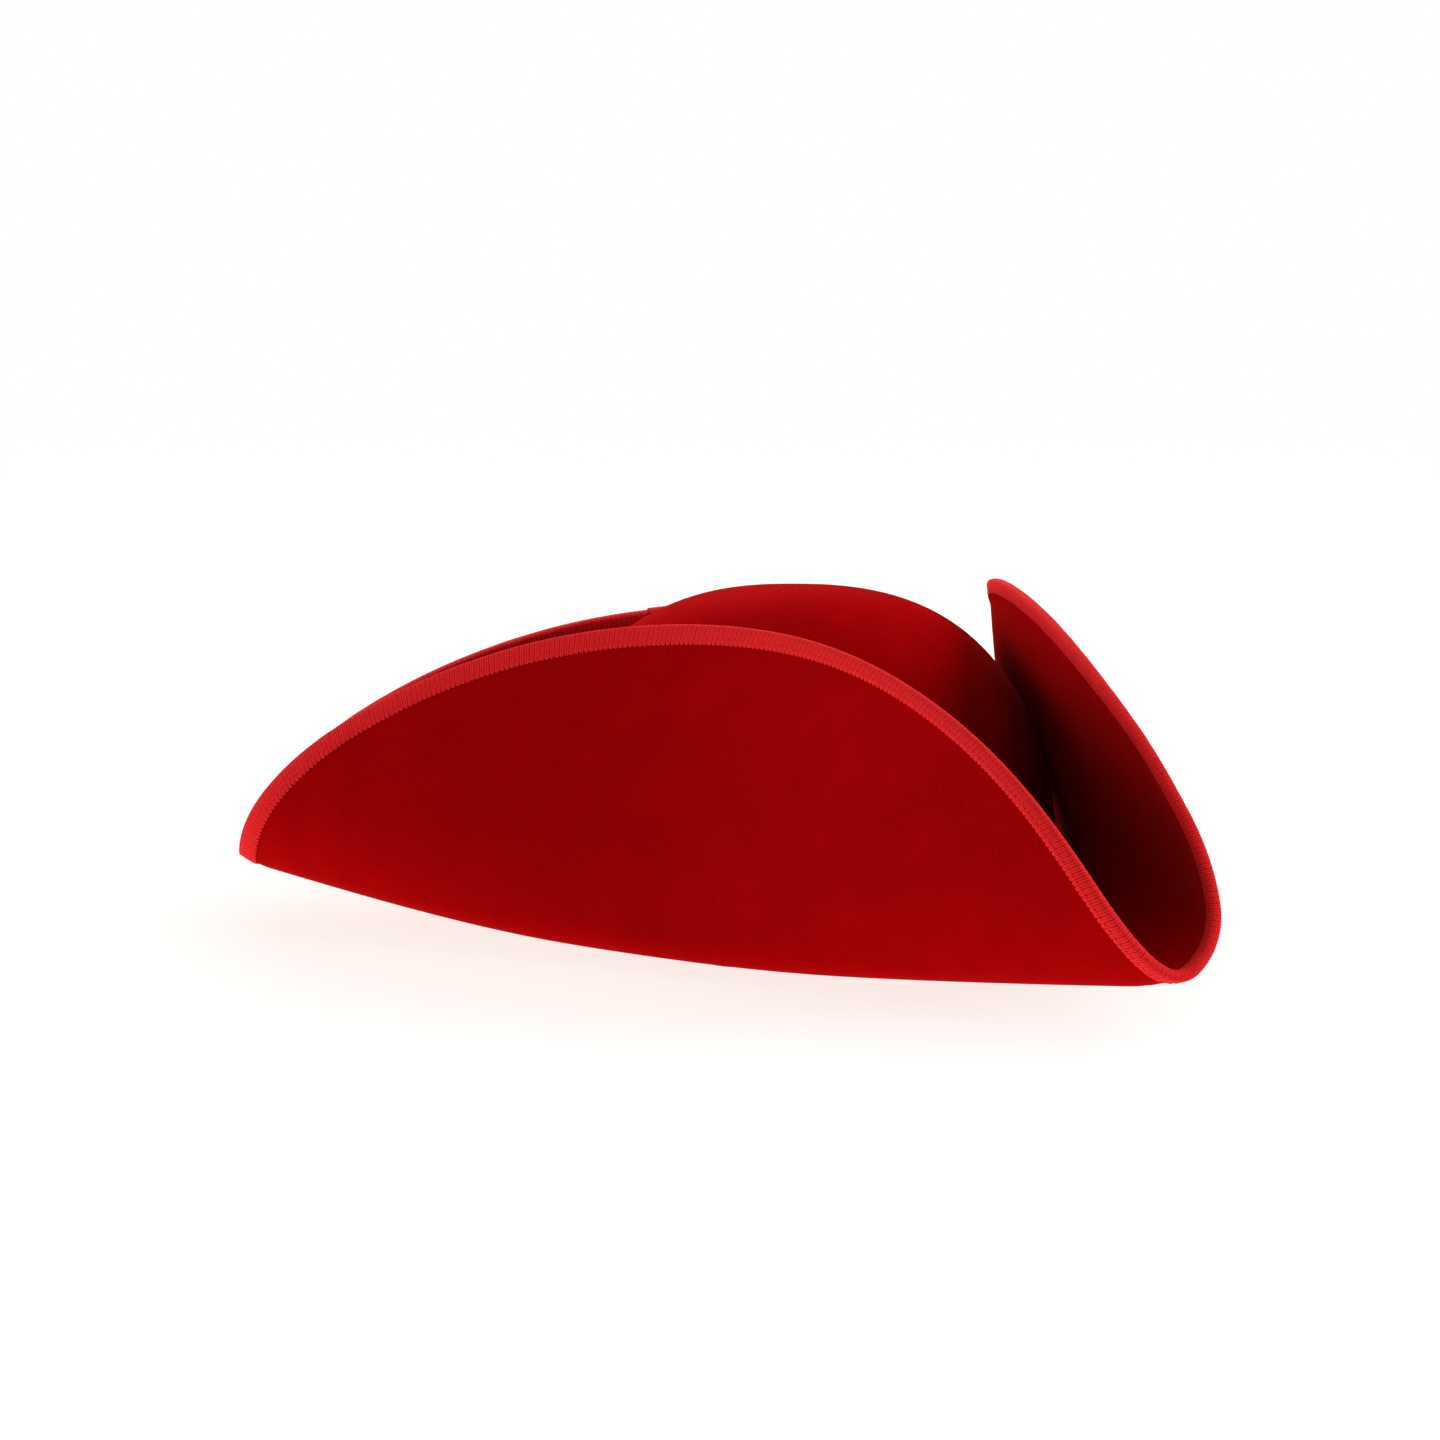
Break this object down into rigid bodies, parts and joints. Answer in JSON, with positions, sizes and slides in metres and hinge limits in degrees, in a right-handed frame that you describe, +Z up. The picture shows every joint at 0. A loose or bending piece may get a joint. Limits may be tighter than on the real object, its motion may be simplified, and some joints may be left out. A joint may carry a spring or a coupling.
{
  "type": "tricorn hat",
  "caption": "Three-cornered felt hat with a round crown, brim folded up into three flaps, ribbon-bound edge and a dark sweatband.",
  "frame": {"origin": "on the surface that the hat rests on, under the middle of the hat's box", "axes": "+Z up, -Y towards the front corner, +Y towards the back flap, +X towards the wearer's left"},
  "size_m": [0.389, 0.3456, 0.1297],
  "materials": {
    "felt": "matte wool felt",
    "ribbon": "ribbed grosgrain ribbon, low sheen",
    "band": "smooth black, satin"
  },
  "bodies": {
    "root": {"felt_body": "felt", "edge_binding": "ribbon", "binding_join": "ribbon", "sweatband": "band"}
  },
  "joints": []
}
